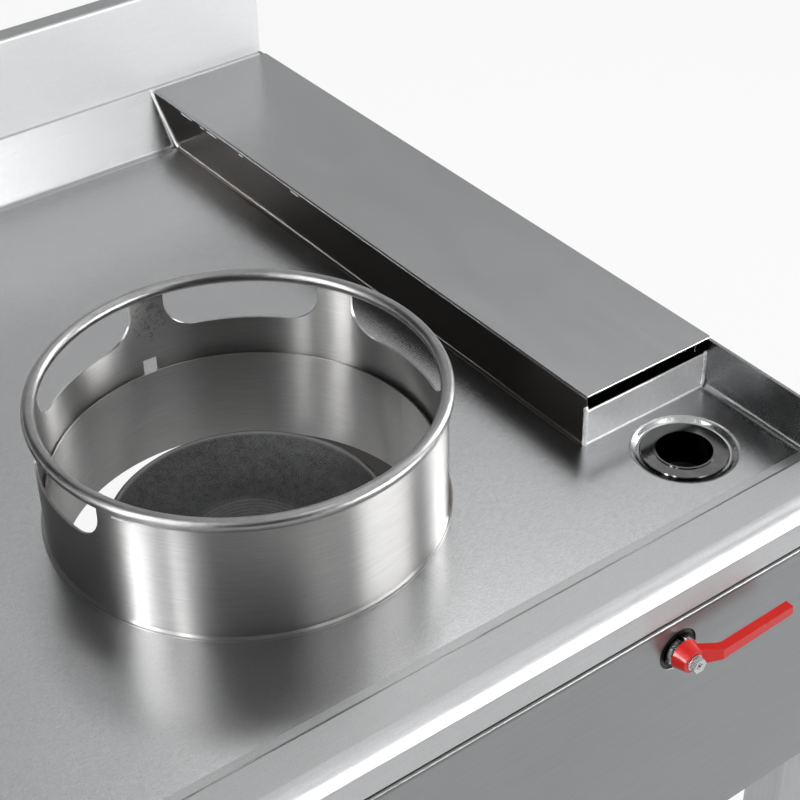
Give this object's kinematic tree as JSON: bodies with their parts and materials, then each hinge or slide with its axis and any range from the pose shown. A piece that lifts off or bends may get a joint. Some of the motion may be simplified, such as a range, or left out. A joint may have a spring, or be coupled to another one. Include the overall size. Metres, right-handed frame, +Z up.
{
  "type": "wok range",
  "caption": "Gas wok range on an open stand: ported wok ring over a cast burner in a sunken well, with overflow channel, drain valve lever, gas tap and splashback.",
  "frame": {"origin": "on the floor, under the middle of the whole outline seen from above", "axes": "+X to the right, +Y to the back, +Z up; the front with the lever and the knob faces -Y"},
  "size_m": [0.8, 0.9254, 1],
  "materials": {
    "well_steel": "bead-brushed stainless sheet",
    "panel_steel": "brushed stainless sheet, grain across",
    "stand_steel": "brushed stainless tube and angle",
    "ring_steel": "rolled stainless, turned",
    "pipe_steel": "plain stainless tube",
    "bright_steel": "polished and plated",
    "cast_iron": "rough as cast, grey",
    "brass": "machined",
    "lever_red": "gloss red paint on cast metal",
    "knob_black": "matt black",
    "button_red": "gloss red",
    "body_black": "matt black",
    "gasket_black": "plain"
  },
  "bodies": {
    "range_body": {"back_panel": "panel_steel", "back_wall": "well_steel", "base_frame": "stand_steel", "burner_body": "cast_iron", "burner_collar": "well_steel", "burner_hanger_left": "stand_steel", "burner_hanger_right": "stand_steel", "channel_end_plate": "well_steel", "channel_hood": "well_steel", "deck_plate": "well_steel", "drain_flange": "bright_steel", "drain_gasket": "gasket_black", "drain_locknut": "brass", "drain_pipe": "pipe_steel", "drain_valve_body": "bright_steel", "flame_probe": "pipe_steel", "front_panel": "panel_steel", "front_rim": "well_steel", "gas_feed_pipe": "pipe_steel", "gas_inlet_pipe": "pipe_steel", "gas_tap_body": "brass", "igniter_body": "body_black", "injector": "brass", "knob_bezel": "bright_steel", "left_side_panel": "panel_steel", "left_upstand": "well_steel", "leg_back_left": "stand_steel", "leg_back_right": "stand_steel", "leg_brace": "stand_steel", "leg_front_left": "stand_steel", "leg_front_right": "stand_steel", "overflow_pipe": "pipe_steel", "pilot_bracket": "stand_steel", "pilot_burner": "brass", "right_side_panel": "panel_steel", "right_upstand": "well_steel", "side_panel_screws": "bright_steel", "splashback": "well_steel", "valve_gland_nut": "bright_steel", "valve_stop_plate": "body_black", "venturi": "cast_iron", "waste_bowl": "bright_steel", "waste_pipe": "pipe_steel"},
    "wok_ring": {"wok_ring_wall": "ring_steel", "wok_ring_rim": "ring_steel", "ring_liner": "ring_steel"},
    "burner_cap": {"burner_cap": "cast_iron"},
    "gas_tap_push": {"gas_tap_plunger": "brass"},
    "gas_knob": {"gas_knob": "knob_black", "gas_tap_spindle": "bright_steel"},
    "igniter_button": {"igniter_button": "button_red"},
    "air_shutter": {"air_shutter": "pipe_steel"},
    "drain_valve": {"drain_valve_ball": "bright_steel", "drain_valve_stem": "bright_steel", "drain_lever": "lever_red", "lever_nut": "bright_steel"},
    "foot_front_left": {"foot_front_left": "bright_steel"},
    "foot_front_right": {"foot_front_right": "bright_steel"},
    "foot_back_left": {"foot_back_left": "bright_steel"},
    "foot_back_right": {"foot_back_right": "bright_steel"}
  },
  "joints": [
    {"name": "wok_ring_lift", "type": "slide", "parent": "range_body", "child": "wok_ring", "axis": [0, 0, 1], "range_m": [0, 0.25]},
    {"name": "burner_cap_lift", "type": "slide", "parent": "range_body", "child": "burner_cap", "axis": [0, 0, 1], "range_m": [0, 0.22]},
    {"name": "gas_knob_push", "type": "slide", "parent": "range_body", "child": "gas_tap_push", "axis": [0, 1, 0], "range_m": [0, 0.004], "stiffness_N_per_m": 1500, "springref_m": -0.002},
    {"name": "gas_knob_turn", "type": "hinge", "parent": "gas_tap_push", "child": "gas_knob", "pos_m": [-0.25, -0.45, 0.685], "axis": [0, 1, 0], "range_deg": [-270, 0]},
    {"name": "igniter_press", "type": "slide", "parent": "range_body", "child": "igniter_button", "axis": [0, 1, 0], "range_m": [0, 0.004], "stiffness_N_per_m": 1500, "springref_m": -0.002},
    {"name": "air_shutter_slide", "type": "slide", "parent": "range_body", "child": "air_shutter", "axis": [-0.7078, -0.7064, 0], "range_m": [0, 0.014]},
    {"name": "drain_valve_turn", "type": "hinge", "parent": "range_body", "child": "drain_valve", "pos_m": [0.205, -0.38575, 0.784], "axis": [0, 1, 0], "range_deg": [0, 90]},
    {"name": "foot_front_left_level", "type": "slide", "parent": "range_body", "child": "foot_front_left", "axis": [0, 0, -1], "range_m": [-0.02, 0.03]},
    {"name": "foot_front_right_level", "type": "slide", "parent": "range_body", "child": "foot_front_right", "axis": [0, 0, -1], "range_m": [-0.02, 0.03]},
    {"name": "foot_back_left_level", "type": "slide", "parent": "range_body", "child": "foot_back_left", "axis": [0, 0, -1], "range_m": [-0.02, 0.03]},
    {"name": "foot_back_right_level", "type": "slide", "parent": "range_body", "child": "foot_back_right", "axis": [0, 0, -1], "range_m": [-0.02, 0.03]}
  ]
}
